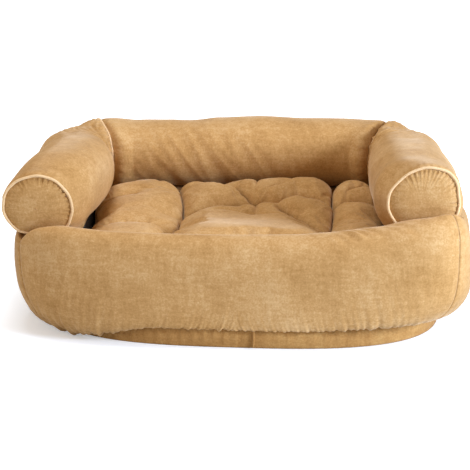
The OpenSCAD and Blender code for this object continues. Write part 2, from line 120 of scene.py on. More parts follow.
def add(tree, kind, links=(), **settings):
    """Adds a node with its settings, and links from (socket, input) pairs."""
    node = tree.nodes.new(kind)
    for name, value in settings.items():
        if hasattr(node, name):
            setattr(node, name, value)
        else:
            node.inputs[name.replace("_", " ")].default_value = value
    for source, target in links:
        tree.links.new(source, node.inputs[target])
    return node


def new_material(name, **shader):
    """A material with only its shader, whose constants are set on its own sockets."""
    mat = bpy.data.materials.new(name)
    mat.use_nodes = True
    tree = mat.node_tree
    bsdf = tree.nodes["Principled BSDF"]
    for key, value in shader.items():
        bsdf.inputs[key.replace("_", " ")].default_value = value
    return mat, tree, bsdf


def ramp(tree, factor, stops):
    """Colours that follow a value, from pairs of a place and a colour."""
    node = add(tree, "ShaderNodeValToRGB", [(factor, 0)])
    marks = node.color_ramp.elements
    while len(marks) < len(stops):
        marks.new(0.5)
    for mark, (at, colour) in zip(marks, stops):
        mark.position = at
        mark.color = linear(colour)
    return node.outputs["Color"]


def own_place(tree):
    """Places on the object's own axes."""
    return add(tree, "ShaderNodeTexCoord").outputs["Object"]


def stretched(tree, where, **change):
    """Places that are moved or scaled."""
    return add(tree, "ShaderNodeMapping", [(where, 0)], **change).outputs[0]


def speckle(tree, where, scale, detail, roughness=0.5):
    """Soft noise from 0 to 1 at those places."""
    settings = {"Scale": scale, "Detail": detail, "Roughness": roughness}
    return add(tree, "ShaderNodeTexNoise", [(where, "Vector")], **settings).outputs[0]


def mixed(tree, a, b, share):
    """A mix of two values, with that share of the second."""
    node = add(tree, "ShaderNodeMix", [(a, "A"), (b, "B")], data_type="FLOAT", Factor=share)
    return node.outputs[0]


def combined(tree, operation, a, b):
    """Two values under one operation."""
    return add(tree, "ShaderNodeMath", [(a, 0), (b, 1)], operation=operation).outputs[0]


def bumped(tree, height, strength, distance, under=()):
    """A normal raised by a height, over another one where under names it."""
    links = [(height, "Height")] + [(normal, "Normal") for normal in under]
    return add(tree, "ShaderNodeBump", links, Strength=strength, Distance=distance).outputs[0]


def rescaled(tree, value, low, high, start=0.0, end=1.0):
    """A value taken from the range start to end over to the range low to high."""
    node = add(tree, "ShaderNodeMapRange", [(value, 0)])
    for name, number in (("From Min", start), ("From Max", end), ("To Min", low), ("To Max", high)):
        node.inputs[name].default_value = number
    return node.outputs[0]


def brushed_suede(name, dark, mid, pale, seed=0.0):
    """Polyester microsuede: a short brushed nap that lies in pale and dark patches as
    wide as a hand, with finer streaks, a soft rim of light and no gloss."""
    mat, tree, bsdf = new_material(
        name, Roughness=0.92, Sheen_Weight=0.4, Sheen_Roughness=0.4, Specular_IOR_Level=0.12
    )
    bsdf.inputs["Sheen Tint"].default_value = linear("#f7e6cb")
    moved = stretched(tree, own_place(tree), Location=(seed, seed * 0.7, 0))
    patches = speckle(tree, moved, 8.0, 2.0)
    rows = speckle(tree, stretched(tree, moved, Scale=(0.4, 0.4, 1.7)), 75.0, 4.0, 0.65)
    streaks = speckle(tree, stretched(tree, moved, Scale=(1.5, 1.5, 0.4)), 55.0, 4.0, 0.65)
    grain = speckle(tree, moved, 260.0, 3.0, 0.7)
    brushed = mixed(tree, rows, streaks, 0.5)
    both = mixed(tree, patches, brushed, 0.6)
    shade = mixed(tree, both, grain, 0.32)
    colour = ramp(tree, shade, [(0.38, dark), (0.5, mid), (0.62, pale)])
    tree.links.new(colour, bsdf.inputs["Base Color"])
    nap = bumped(tree, grain, 0.35, 0.4 * MM)
    tree.links.new(bumped(tree, streaks, 0.25, 1.6 * MM, [nap]), bsdf.inputs["Normal"])
    return mat


def woven(name, dark, pale, thread, roughness):
    """A plain weave of threads that far apart, drawn coarse enough to show."""
    mat, tree, bsdf = new_material(name, Roughness=roughness, Sheen_Weight=0.1)
    where = own_place(tree)
    settings = {"Scale": pi / (10 * thread), "Distortion": 0.6}
    waves = [
        add(tree, "ShaderNodeTexWave", [(where, "Vector")], bands_direction=way, **settings).outputs[1]
        for way in "XYZ"
    ]
    total = combined(tree, "ADD", combined(tree, "MULTIPLY", waves[0], waves[1]), waves[2])
    shade = mixed(tree, total, speckle(tree, where, 60.0, 3.0), 0.6)
    tree.links.new(ramp(tree, shade, [(0.3, dark), (0.75, pale)]), bsdf.inputs["Base Color"])
    tree.links.new(bumped(tree, total, 0.5, 0.3 * MM), bsdf.inputs["Normal"])
    return mat


def cast_brass():
    """Zinc alloy plated in antique brass: dull gold, darker in the worn patches."""
    mat, tree, bsdf = new_material("antique_brass_plate", Metallic=1.0)
    wear = speckle(tree, own_place(tree), 260.0, 4.0)
    tree.links.new(ramp(tree, wear, [(0.35, "#5d4a26"), (0.6, "#a98f52")]), bsdf.inputs["Base Color"])
    tree.links.new(rescaled(tree, wear, 0.5, 0.3), bsdf.inputs["Roughness"])
    return mat


def fibre_mass(name, dark, pale, size):
    """Hollow-fibre stuffing or open-cell foam, matt and a little lumpy."""
    mat, tree, bsdf = new_material(name, Roughness=0.95)
    cells = speckle(tree, own_place(tree), 1 / size, 5.0)
    tree.links.new(ramp(tree, cells, [(0.3, dark), (0.7, pale)]), bsdf.inputs["Base Color"])
    tree.links.new(bumped(tree, cells, 0.6, 1.5 * MM), bsdf.inputs["Normal"])
    return mat


SUEDE = brushed_suede("brushed_polyester_microsuede", "#a77d48", "#bd935d", "#d0ab79")
# The band is a darker copy of the same microsuede: partly nap that lies the other way, partly painted shade
# from under the wall's overhang
BAND_SUEDE = brushed_suede("band_microsuede_against_the_nap_and_painted_shade", "#976b38", "#ae824b", "#c2995f", 3.0)
CORDING = woven("cotton_covered_cord", "#d9b27e", "#f0cf9f", 0.9 * MM, 0.75)
LINING = woven("black_nonwoven_lining", "#0e0d0d", "#262423", 1.2 * MM, 0.9)
BOTTOM_CLOTH = woven("black_nonslip_bottom_cloth", "#131212", "#2b2928", 2.4 * MM, 0.85)
ZIP_TAPE = woven("polyester_zip_tape_and_coil", "#8f6a3e", "#b38b59", 0.8 * MM, 0.6)
BRASS = cast_brass()
FOAM = fibre_mass("open_cell_polyurethane_foam", "#d9cdb0", "#f0e8d2", 2.0 * MM)
FIBRE = fibre_mass("hollow_polyester_fibre", "#e4e0d6", "#fbfaf6", 6.0 * MM)

SLOT_MATERIALS = {
    "suede": SUEDE, "suede_dark": BAND_SUEDE, "piping": CORDING, "lining": LINING,
    "bottom_cloth": BOTTOM_CLOTH, "zip_tape": ZIP_TAPE, "zip_metal": BRASS,
    "foam": FOAM, "fibre": FIBRE,
}


# Shaping tools
def smooth(x, low=0.0, high=1.0):
    """0 below low, 1 above high and smooth between."""
    t = np.clip((np.asarray(x, float) - low) / (high - low), 0, 1)
    return t * t * (3 - 2 * t)


def soft_noise(points, size, seed=0.0):
    """Smooth noise from -1 to 1 with lumps of about that size."""
    shift = Vector((seed * 7.31, seed * 3.17, seed * 5.71))
    return np.array([noise.noise(Vector(p) / size + shift) for p in points])


def gathers(turn, count, seed=0):
    """Uneven pleats along a seam. turn goes from 0 to 1 along it, and the pleats stand
    closer together in some places than in others."""
    rng = np.random.default_rng(seed)
    waves = zip((1, 2, 3), (0.5, 0.35, 0.25), rng.random(3))
    drift = sum(size * np.sin(2 * pi * (k * turn + at)) for k, size, at in waves)
    phase = 2 * pi * (count * turn + drift)
    wide = np.sin(2 * pi * (3 * turn + rng.random()))
    narrow = np.sin(2 * pi * (5 * turn + rng.random()))
    swell = 0.55 + 0.45 * wide * narrow
    ridge = 1 - 2 * np.abs(np.sin(phase / 2)) ** 0.8
    return swell * (0.6 * ridge + 0.4 * np.sin(2.3 * phase + 1))


def shaped_grid(name, across, along, place):
    """A sheet of quads whose corners go where place says. u runs across and v along,
    from 0 to 1, and corners that meet become one."""
    bm = bmesh.new()
    bmesh.ops.create_grid(bm, x_segments=across, y_segments=along, size=0.5)
    corners = np.array([v.co[:2] for v in bm.verts]) + 0.5
    u = np.round(corners[:, 0] * across) / across
    v = np.round(corners[:, 1] * along) / along
    for vert, p in zip(bm.verts, place(u, v)):
        vert.co = p
    bmesh.ops.remove_doubles(bm, verts=bm.verts, dist=0.02 * MM)
    middle = sum((f.calc_center_median() for f in bm.faces), Vector()) / len(bm.faces)
    bm.normal_update()
    outward = sum(f.calc_area() * f.normal.dot(f.calc_center_median() - middle) for f in bm.faces)
    if outward < 0:
        bmesh.ops.reverse_faces(bm, faces=bm.faces)
    return as_piece(name, bm)


def as_piece(name, bm):
    """Puts a mesh into the scene as an object of its own."""
    mesh = bpy.data.meshes.new(name)
    bm.to_mesh(mesh)
    bm.free()
    mesh.shade_smooth()
    piece = bpy.data.objects.new(name, mesh)
    bpy.context.scene.collection.objects.link(piece)
    return piece


def dress(piece, slot, body, *nodes, fill=None):
    """Gives a piece its finish, its body and the nodes that it stands for."""
    piece.data.materials.clear()
    piece.data.materials.append(SLOT_MATERIALS[slot])
    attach(piece, body)
    if nodes:
        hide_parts(*nodes)
    return piece


def thicken(piece):
    """Gives a sheet its cloth's thickness, inwards."""
    wall = piece.modifiers.new("cloth_thickness", "SOLIDIFY")
    wall.thickness = CLOTH_T
    wall.offset = -1
    return piece


def outline(turn, half_w, front, rear, square):
    """A point in plan on a rounded outline, at an angle about its centre."""
    c, s = np.cos(turn), np.sin(turn)
    along = (front + rear) / 2
    r = (np.abs(c / half_w) ** square + np.abs(s / along) ** square) ** (-1 / square)
    return r * c * MM, (r * s + (rear - front) / 2) * MM


def through(rows, share):
    """The row at a share of the way down a table, on a smooth curve through them all."""
    rows = np.array(rows, float)
    at = np.clip(np.asarray(share, float), 0, 1) * (len(rows) - 1)
    i = np.clip(at.astype(int), 0, len(rows) - 2)
    t = (at - i)[..., None]
    p0, p1, p2, p3 = (rows[np.clip(i + k, 0, len(rows) - 1)] for k in (-1, 0, 1, 2))
    curve = 2 * p1 + (p2 - p0) * t + (2 * p0 - 5 * p1 + 4 * p2 - p3) * t**2
    return 0.5 * (curve + (3 * p1 - p0 - 3 * p2 + p3) * t**3)


# Bolsters
ARM_L = ARM_BEND[1] - FRONT_Y
BEND_L = BEND_R * BEND_ANGLE
BACK_BEND_L = BEND_R * (pi / 2 - BEND_ANGLE)
RUN_START = ARM_L + BEND_L
BACK_START = RUN_START + SEAM_RUN + BACK_BEND_L
AXIS_END = BACK_START + BACK_BEND[0]


def axis_place(s):
    """Plan place and outward direction at a length s along the right half of the axis,
    from the right arm's front seam to the middle of the back."""
    s = np.asarray(s, float)
    a1 = np.clip((s - ARM_L) / BEND_R, 0, BEND_ANGLE)
    a2 = np.clip((s - RUN_START - SEAM_RUN) / BEND_R, 0, pi / 2 - BEND_ANGLE)
    x = ARM_BEND[0] + BEND_R * np.cos(a1)
    y = np.where(s < ARM_L, FRONT_Y + s, ARM_BEND[1] + BEND_R * np.sin(a1))
    run = np.clip(s - RUN_START, 0, SEAM_RUN)
    x = x - run * sin(BEND_ANGLE)
    y = y + run * cos(BEND_ANGLE)
    turn = BEND_ANGLE + a2
    late = s > RUN_START + SEAM_RUN
    x = np.where(late, BACK_BEND[0] + BEND_R * np.cos(turn) - np.clip(s - BACK_START, 0, None), x)
    y = np.where(late, BACK_BEND[1] + BEND_R * np.sin(turn), y)
    turn = a1 + a2
    return x, y, np.cos(turn), np.sin(turn)


def along_y(y, places, values):
    """A value that follows Y smoothly through places given in millimetres."""
    steps = np.interp(y / MM, places, values)
    ahead = np.interp(y / MM + 18, places, values)
    behind = np.interp(y / MM - 18, places, values)
    return (steps + ahead + behind) / 3 * MM


def from_zip(turn):
    """The angle round a bolster from the middle of its zip."""
    return np.abs((turn + ZIP_TILT + pi) % (2 * pi) - pi)


def droop(side, x, y, z, turn):
    """The left arm's front end has sunk into the wall, and the right arm's rides up.
    Both lean inward towards the rear, the left one more, but for the cloth at the zip."""
    beside_zip = 1 - smooth(from_zip(turn), 0.3, 0.95)
    ahead = smooth(-y, 110 * MM, 250 * MM) * (1 - beside_zip)
    ahead = ahead + smooth(-y, 192 * MM, 245 * MM) * beside_zip
    above = (z - AXIS_Z + BOLSTER_R) / (2 * BOLSTER_R)
    free = 1 - (1 - smooth(from_zip(turn), 0.35, 1.15)) * (1 - smooth(y, 70 * MM, 120 * MM))
    if side < 0:
        lean = along_y(y, *LEFT_LEAN)
        hump = 5 * MM * smooth(y, 130 * MM, 200 * MM)
        under = np.maximum(AXIS_Z - z, 0)
        sunk = z + 0.2 * under * ahead - (11 + 9 * above) * MM * ahead
        return x - 2 * MM * ahead + lean * free, y, sunk + hump
    lean = along_y(y, *RIGHT_LEAN)
    hump = 5 * MM * smooth(y, 50 * MM, 130 * MM) * (0.3 + 0.7 * above)
    tipped = 13 * MM * ahead * smooth(above, 0.55, 1)
    return x - 6 * MM * ahead - lean * free + tipped, y, z + 7 * MM * ahead + hump


def bolster_point(side, s, turn, r):
    """A point of a bolster at that length, angle (0 outward, a quarter up) and radius."""
    x, y, nx, ny = axis_place(s)
    if side < 0:
        # The sunken end spreads where it rests
        low = smooth(-np.sin(turn), 0, 0.6) * np.sin(2 * turn) ** 2
        low = low * smooth(from_zip(turn), 0.2, 0.7)
        r = r * (1 + 0.1 * low * smooth(-y, 110 * MM, 250 * MM))
    px = x + r * np.cos(turn) * nx
    py = y + r * np.cos(turn) * ny
    pz = AXIS_Z + r * np.sin(turn)
    return droop(side, side * px, py, pz, turn)


def crowded(u, at, tightness=5.0, width=0.035):
    """Shares from 0 to 1 that stand closer round a place."""
    t = np.linspace(0, 1, 4001)
    far = np.minimum(np.abs(t - at), 1 - np.abs(t - at))
    total = np.cumsum(1 + tightness * np.exp(-((far / width) ** 2)))
    total = (total - total[0]) / (total[-1] - total[0])
    return np.interp(u, total, t)


def across_zip(share):
    """The distance from the zip's middle to a share of the way round a bolster."""
    return ((share - ZIP_SHARE + 0.5) % 1 - 0.5) * 2 * pi * BOLSTER_R


def zip_groove(run, across, length):
    """Depth of the slot that shows the zip: run and across are measured from its middle."""
    inside = 1 - smooth(np.abs(across), 3.9 * MM, 5.0 * MM)
    return ZIP_SLOT_D * inside * (1 - smooth(np.abs(run), length / 2, length / 2 + 3 * MM))


def flat_at_zip(run, across, length):
    """1 on the strip of cloth that the zip holds flat and 0 away from it."""
    beside = 1 - smooth(np.abs(across), 8 * MM, 26 * MM)
    return beside * (1 - smooth(np.abs(run), length / 2, length / 2 + 20 * MM))


def end_draw(from_end):
    """How far a cover is drawn in at a seam."""
    t = np.clip(1 - from_end / DRAW_L, 0, 1)
    return DRAW_D * t**2.2


def drag(x, y, z, seed, size, stretch):
    """Long soft folds that run mostly one way."""
    points = np.stack([x / stretch[0], y / stretch[1], z / stretch[2]], 1)
    n = soft_noise(points, size, seed)
    return 1 - 2.2 * np.abs(n)


def seam_depth(turn):
    """How much deeper the seam between arm and back is drawn in on the inner side."""
    return 13 * MM * smooth(-np.cos(turn + 0.25), -0.05, 0.6)


def arm_radius(s, turn, seed, bulge):
    """An arm's cover: plump between its seams, most on the inner side, and puckered at
    both ends."""
    total = RUN_START + ARM_SEAM
    front, rear = s, total - s
    share = (turn / (2 * pi)) % 1
    r = BOLSTER_R + 1.2 * MM * np.sin(pi * s / total) - end_draw(front) - end_draw(rear)
    r = r - seam_depth(turn) * (1 - smooth(rear, -4 * MM, 9 * MM))
    inner = smooth(-np.cos(turn - 0.3), -0.3, 0.85)
    r = r + bulge * inner * smooth(front, 4 * MM, 75 * MM) * smooth(rear, 0, 46 * MM)
    r = r + 4.5 * MM * gathers(share, 26, seed) * np.exp(-front / (13 * MM)) * smooth(front, 0, 4 * MM)
    r = r + 7.5 * MM * gathers(share, 19, seed + 1) * np.exp(-rear / (30 * MM)) * smooth(rear, 0, 6 * MM)
    return r


def arm_sleeve(side, name, seed, inset=0.0, across=200, along=220):
    """An arm's cover, or what lies that far inside it."""
    bulge = (17 if side < 0 else 24) * MM
    cut_short = (16 if side < 0 else 15) * MM

    def place(u, v):
        share = crowded(u, ZIP_SHARE)
        turn = share * 2 * pi
        s = v * (RUN_START + ARM_SEAM)
        r = arm_radius(s, turn, seed, bulge)
        across_it = across_zip(share)
        run = s - ARM_L / 2
        held = flat_at_zip(run, across_it, ARM_ZIP_L)
        pts = np.stack(bolster_point(side, s, turn, r), 1)
        lumps = 1.6 * MM * soft_noise(pts, 70 * MM, seed) + 0.7 * MM * soft_noise(pts, 28 * MM, seed + 5)
        inside = smooth(-np.cos(turn), -0.2, 0.9)
        corner = smooth(s, ARM_L - 60 * MM, RUN_START)
        slant, girth = s + 0.6 * turn * BOLSTER_R, turn * BOLSTER_R
        folds = drag(slant, girth, 0 * s, seed + 9, 26 * MM, (0.55, 2.2, 1))
        crumple = 3.6 * MM * corner * (0.45 + 0.55 * inside) * folds
        r = r + (lumps + crumple) * (1 - held) * smooth(s, 0, 30 * MM)
        # The cloth cuts the outer side of the bend short
        cut = smooth(s, ARM_L - 140 * MM, ARM_L + 60 * MM)
        cut = cut * (1 - smooth(s, RUN_START - 30 * MM, RUN_START + 26 * MM))
        r = r - cut_short * cut * smooth(np.cos(turn - 1.0), -0.1, 0.9) * (1 - held)
        r = r - zip_groove(run, across_it, ARM_ZIP_L) - inset
        return np.stack(bolster_point(side, s, turn, r), 1)

    return shaped_grid(name, across, along, place)


def seam_cap(side, name, s, facing, dome, seed, cap_r, pucker=0.0, deep=0.0, across=220, rings=34):
    """A round end of cloth inside a seam, domed towards facing, with gathers at its rim."""
    reach = (8 if side < 0 else 13) * MM
    strength = 1.1 if side < 0 else 0.75

    def place(u, share):
        turn = u * 2 * pi
        r = (cap_r - deep * seam_depth(turn)) * share
        nx, ny = axis_place(s + 0 * share)[2:]
        upper = 0.3 + 0.7 * smooth(np.sin(turn + 0.5 * side), -0.3, 0.8)
        pleats = gathers(u, 36, seed) * upper
        rim = np.exp(-((1 - share) * cap_r) / reach) * smooth(1 - share, 0, 0.06)
        out = dome * (1 - share**3.2) + strength * pucker * pleats * rim
        px, py, pz = bolster_point(side, s + 0 * share, turn, r)
        lumps = soft_noise(np.stack([px, py, pz], 1), 40 * MM, seed) * 1.2 * MM * (1 - share)
        out = (out + lumps) * facing
        return np.stack([px - side * out * ny, py + out * nx, pz], 1)

    return shaped_grid(name, across, rings, place)


def cord_ring(side, name, s, ring_r, seed, deep=0.0, across=150, rings=12):
    """Covered cord sewn into a round seam, not quite even."""

    def place(u, v):
        turn = u * 2 * pi
        own = v * 2 * pi
        wobble = 0.5 * MM * np.sin(5 * turn + seed) + 0.35 * MM * np.sin(11 * turn + 2 * seed)
        r = ring_r + wobble - deep * seam_depth(turn) + CORD_R * np.cos(own)
        return np.stack(bolster_point(side, s + CORD_R * np.sin(own) + 0 * v, turn, r), 1)

    return shaped_grid(name, across, rings, place)


def back_sleeve(name, seed, inset=0.0, across=176, along=210):
    """The back's cover, or what lies that far inside it."""
    half = AXIS_END - RUN_START - BACK_SEAM

    def point(t, turn, r):
        """t runs from the right seam at 0 to the left seam at 1."""
        side = np.where(t <= 0.5, 1, -1)
        x, y, nx, ny = axis_place(AXIS_END - half * np.abs(1 - 2 * t))
        px = side * (x + r * np.cos(turn) * nx)
        py = y + r * np.cos(turn) * ny
        pz = AXIS_Z + r * np.sin(turn)
        # The back's top line is higher in places than in others
        high = 0.3 + 0.7 * smooth(np.sin(turn), -0.5, 1)
        rise = 2 * smooth(px, 150 * MM, 330 * MM) + 4 * np.exp(-(((px - 40 * MM) / (80 * MM)) ** 2))
        dip = smooth(-px, 50 * MM, 120 * MM) * (1 - smooth(-px, 230 * MM, 300 * MM))
        return px, py, pz + rise * MM * high - 7 * MM * high * dip

    def place(u, v):
        share = crowded(u, ZIP_SHARE)
        turn = share * 2 * pi
        from_end = half * (1 - np.abs(1 - 2 * v))
        r = BOLSTER_R + 1.0 * MM * np.sin(pi * v) - end_draw(from_end)
        r = r - seam_depth(turn) * (1 - smooth(from_end, -4 * MM, 9 * MM))
        full = smooth(from_end, 0, 20 * MM) * (1 - smooth(from_end, 20 * MM, 110 * MM))
        r = r + 7 * MM * smooth(-np.cos(turn - 0.2), 0.0, 0.8) * full
        puckers = np.exp(-from_end / (18 * MM)) * smooth(from_end, 0, 5 * MM)
        r = r + 4.5 * MM * gathers(share, 22, seed) * puckers
        x, y, z = point(v, turn, r)
        pts = np.stack([x, y, z], 1)
        across_it = across_zip(share)
        held = flat_at_zip(x, across_it, BACK_ZIP_L)
        lumps = 1.5 * MM * soft_noise(pts, 85 * MM, seed) + 0.6 * MM * soft_noise(pts, 30 * MM, seed + 5)
        front = smooth(-np.cos(turn), -0.1, 0.8)
        slope = x + 0.75 * (z - AXIS_Z)
        folds = drag(slope, 0 * x, z - 0.5 * x, seed + 3, 48 * MM, (0.8, 1, 4.0))
        pull = 0.3 + 0.7 * np.exp(-((x + 50 * MM) / (120 * MM)) ** 2)
        crumple = 3.6 * MM * front * pull * folds
        r = r + (lumps + crumple) * (1 - held) * smooth(from_end, 0, 30 * MM)
        r = r - zip_groove(x, across_it, BACK_ZIP_L) - inset
        return np.stack(point(v, turn, r), 1)

    return shaped_grid(name, across, along, place)


# A cap that other cloth hides follows the corner's deep seam and is coarser
HIDDEN_CAP = {"deep": 1, "across": 100, "rings": 12}
for side, word in ((-1, "left"), (1, "right")):
    arm = word + "_arm"
    seed = 11 if side < 0 else 23
    sleeve = arm_sleeve(side, arm + "_sleeve", seed)
    dress(thicken(sleeve), "suede", "base", arm + "_cover", fill=0.85)
    face = seam_cap(side, arm + "_face", 0, -1, 11 * MM, seed, CAP_R - 0.5 * MM, 7.5 * MM)
    dress(thicken(face), "suede", "base", arm + "_front_cap", fill=0.85)
    at = RUN_START + ARM_SEAM - 0.6 * MM
    end = seam_cap(side, arm + "_rear_end", at, 1, 0.8 * MM, seed + 2, CAP_R - 0.3 * MM, **HIDDEN_CAP)
    dress(thicken(end), "suede", "base", arm + "_rear_cap")
    cord = cord_ring(side, arm + "_cording", -1.0 * MM, CAP_R + 1.0 * MM, seed)
    dress(cord, "piping", "base", arm + "_piping")
    stuffing = arm_sleeve(side, arm + "_stuffing", seed, 5 * MM, 60, 50)
    dress(stuffing, "fibre", "base", arm + "_fill")
    back_end = "back_" + word
    at = RUN_START + BACK_SEAM
    end = seam_cap(side, back_end + "_end", at, -1, 1.0 * MM, seed + 4, CAP_R - 0.5 * MM, **HIDDEN_CAP)
    dress(thicken(end), "suede", "base", back_end + "_cap")
    cord = cord_ring(side, back_end + "_cording", at - 1.0 * MM, CAP_R + 1.2 * MM, seed + 5, deep=1)
    dress(cord, "piping", "base", back_end + "_piping")

back = back_sleeve("back_sleeve", 37)
dress(thicken(back), "suede", "base", "back_cover", fill=0.85)
back_stuffing = back_sleeve("back_stuffing", 37, 5 * MM, 60, 80)
dress(back_stuffing, "fibre", "base", "back_fill")


# Wall
# From the band's seam up the outside, over the rim and down into the well: half
# width, front, rear, squareness at the rear and at the front, and height. Lengths
# are in millimetres
WALL_ROWS = [
    (400, 300, 290, 2.4, 2.9, 47),
    (412, 308, 300, 2.5, 3.0, 41),
    (433, 316, 311, 3.0, 3.3, 40),
    (452, 320, 318, 3.6, 4.0, 56),
    (465, 322, 322, 4.1, 4.8, 86),
    (469, 322, 323, 4.4, 5.4, 120),
    (469, 321, 322, 4.6, 5.8, 156),
    (463, 315, 318, 5.0, 6.6, 188),
    (448, 304, 306, 5.3, 7.4, 212),
    (424, 288, 284, 5.5, 8.0, 223),
    (397, 272, 256, 5.4, 7.6, 224),
    (368, 259, 226, 5.2, 6.5, 216),
    (339, 250, 196, 4.8, 5.2, 206),
    (320, 245, 176, 4.6, 4.7, 192),
    (314, 245, 169, 4.5, 4.5, 150),
    (313, 244, 168, 4.5, 4.5, 100),
]


def turn_base(x, y, share=1):
    """The base stands a little askew under the bolsters, and to the right of them."""
    t = BASE_TURN * share
    return x * np.cos(t) - y * np.sin(t) + BASE_SHIFT * share, x * np.sin(t) + y * np.cos(t)


def rim_lift(x):
    """How much higher or lower the front rim stands along its length."""
    at = np.array([-430, -400, -340, -250, -150, 0, 130, 200, 240, 300, 370, 400, 443]) * MM
    lift = np.array([8, 13, 11, 4, 1, 0, 3, 9, 15, 22, 38, 47, 68]) * MM
    return np.interp(x, at, lift)


def axis_distance(x, y):
    """Distance in plan from the bolsters' axis."""
    ax = np.abs(x)
    arm_x, arm_y = ax - ARM_BEND[0], y - ARM_BEND[1]
    back_x, back_y = ax - BACK_BEND[0], y - BACK_BEND[1]
    d_arm = np.where(arm_y < 0, np.abs(ax - ARM_X), np.abs(np.hypot(arm_x, arm_y) - BEND_R))
    d_back = np.where(back_x < 0, np.abs(y - BACK_Y), np.abs(np.hypot(back_x, back_y) - BEND_R))
    run = np.abs(arm_x * cos(BEND_ANGLE) + arm_y * sin(BEND_ANGLE) - BEND_R)
    beyond = arm_y > np.tan(BEND_ANGLE) * arm_x
    before = back_y < np.tan(BEND_ANGLE) * back_x
    d_side = np.where(beyond & (arm_y > 0), run, d_arm)
    return np.where((back_x < 0) | ~before & beyond, d_back, d_side)


def saddle(x, y):
    """Height of the hollow that the bolsters press into the wall's top."""
    q = axis_distance(x, y)
    r = BOLSTER_R + 1.0 * MM
    hollow = AXIS_Z - np.sqrt(np.maximum(r * r - q * q, 0))
    ahead = np.maximum(0, (FRONT_Y - 13 * MM) - y)
    sink = np.where(x < 0, -11 * MM, 6 * MM) * smooth(-y, 130 * MM, 250 * MM)
    return hollow + sink + ahead * 2.6


def soft_min(a, b, width):
    """The lower of two heights, with a round change from one to the other."""
    t = np.clip((b - a) / width, -1, 1)
    between = (a + b) / 2 - (b - a) * t / 2 - width / 4 * (1 - t * t)
    return np.where(t >= 1, a, np.where(t <= -1, b, between))


def wall_sheet(name, from_turn, to_turn, across, along, inset=0.0):
    """The wall's cover between two directions, or what lies that far inside it."""

    def place(u, v):
        turn = from_turn + (to_turn - from_turn) * u
        rows = through(WALL_ROWS, v)
        half_w, front, rear, square, front_square, height = (rows[:, i] for i in range(6))
        square = np.where(np.sin(turn) > 0, square, front_square)
        x, y = outline(turn, half_w, front, rear, square)
        rim = smooth(v, 0.3, 0.58) * (1 - smooth(v, 0.8, 0.95))
        at_front = smooth(-y, 120 * MM, 250 * MM)
        z = height * MM + rim_lift(x) * rim * at_front - 14 * MM * rim * smooth(y, 60 * MM, 190 * MM)
        # The cloth sinks at the front left corner and is drawn up at the right one
        low = 1 - smooth(v, 0.08, 0.36)
        left = smooth(-x, 150 * MM, 330 * MM) * smooth(-y, 0, 200 * MM)
        right = smooth(x, 120 * MM, 350 * MM) * at_front
        z = z - 34 * MM * low * left + 14 * MM * (1 - smooth(v, 0.02, 0.2)) * right
        x, y = turn_base(x, y, 1 - smooth(v, 0.42, 0.78))
        p = np.stack([x, y, z], 1)
        # Outward direction in plan
        nx, ny = np.cos(turn), np.sin(turn)
        length = np.hypot(nx * 0.7, ny)
        flat = np.stack([nx * 0.7 / length, ny / length, 0 * nx], 1)
        outer = smooth(v, 0.04, 0.16) * (1 - smooth(v, 0.5, 0.62))
        lumps = 2.2 * MM * soft_noise(p, 130 * MM, 5) + 0.9 * MM * soft_noise(p, 48 * MM, 6)
        # Pleats above the band, which slant outward and are deepest at the corners
        perimeter = turn / (2 * pi)
        corner = 0.35 + 0.65 * smooth(np.abs(x), 190 * MM, 330 * MM)
        reach = 0.03 + 0.06 * corner
        hem = smooth(v, 0.0, 0.03) * np.exp(-np.maximum(v - 0.11, 0) / reach)
        slanted = perimeter + 1.6 * v * np.sign(nx) / 29
        pleats = 10 * MM * (gathers(slanted, 96, 3) + 0.5 * gathers(slanted, 61, 4)) * hem * corner
        pleats = pleats * (inset == 0)
        under = pi / 2 * (1 - smooth(v, 0.06, 0.28))
        p += flat * (lumps * outer + pleats * np.cos(under))[:, None]
        p[:, 2] -= pleats * np.sin(under)
        # Small puckers on the front rim
        at_rim = np.exp(-(((v - 0.57) / 0.07) ** 2)) * at_front
        at_rim = at_rim * (0.25 + 0.75 * smooth(x, 120 * MM, 240 * MM))
        uneven = 0.55 + 0.75 * soft_noise(p, 60 * MM, 31)
        p[:, 2] += 4.2 * MM * uneven * gathers(perimeter + 0.02 * v, 47, 8) * at_rim * (inset == 0)
        # The side seams, drawn in with puckers
        sewn = smooth(v, 0.05, 0.15) * (1 - smooth(v, 0.6, 0.7))
        for at in SEAM_TURNS:
            off = ((np.degrees(turn) - at + 180) % 360 - 180) / 360 * WALL_GIRTH
            groove = np.exp(-((off / (3.0 * MM)) ** 2)) * sewn
            puckers = np.exp(-np.abs(off) / (16 * MM)) * sewn * gathers(v, 22, at + 90)
            p -= flat * (2.4 * MM * groove - 4 * MM * puckers * (1 - groove))[:, None]
        p[:, 2] = soft_min(p[:, 2], saddle(p[:, 0], p[:, 1]), 14 * MM)
        if inset:
            p[:, :2] -= flat[:, :2] * (inset * np.cos(pi * v))[:, None]
            p[:, 2] += inset * (1 - smooth(v, 0.06, 0.25)) - inset * smooth(v, 0.35, 0.55)
        return p

    return shaped_grid(name, across, along, place)


def line_well(wall):
    """The wall's cloth gives way to black lining below the rim of the well."""
    wall.data.materials.append(LINING)
    for face in wall.data.polygons:
        x, y, z = face.center
        low_enough = LINED_Z[0] < z < LINED_Z[1]
        if low_enough and abs(x) < LINED_X and LINED_Y[0] < y < LINED_Y[1]:
            face.material_index = 1


right_seam, left_seam = (radians(turn) for turn in SEAM_TURNS)
front_wall = wall_sheet("front_wall", left_seam - 2 * pi, right_seam, 470, 104)
dress(thicken(front_wall), "suede", "base", "front_wall_cover", fill=0.8)
rear_wall = wall_sheet("rear_wall", right_seam, left_seam, 440, 100)
dress(thicken(rear_wall), "suede", "base", "rear_wall_cover", fill=0.8)
for wall in (front_wall, rear_wall):
    line_well(wall)
wall_stuffing = wall_sheet("wall_stuffing", -pi, pi, 200, 50, 9 * MM)
dress(wall_stuffing, "fibre", "base", "wall_fill")


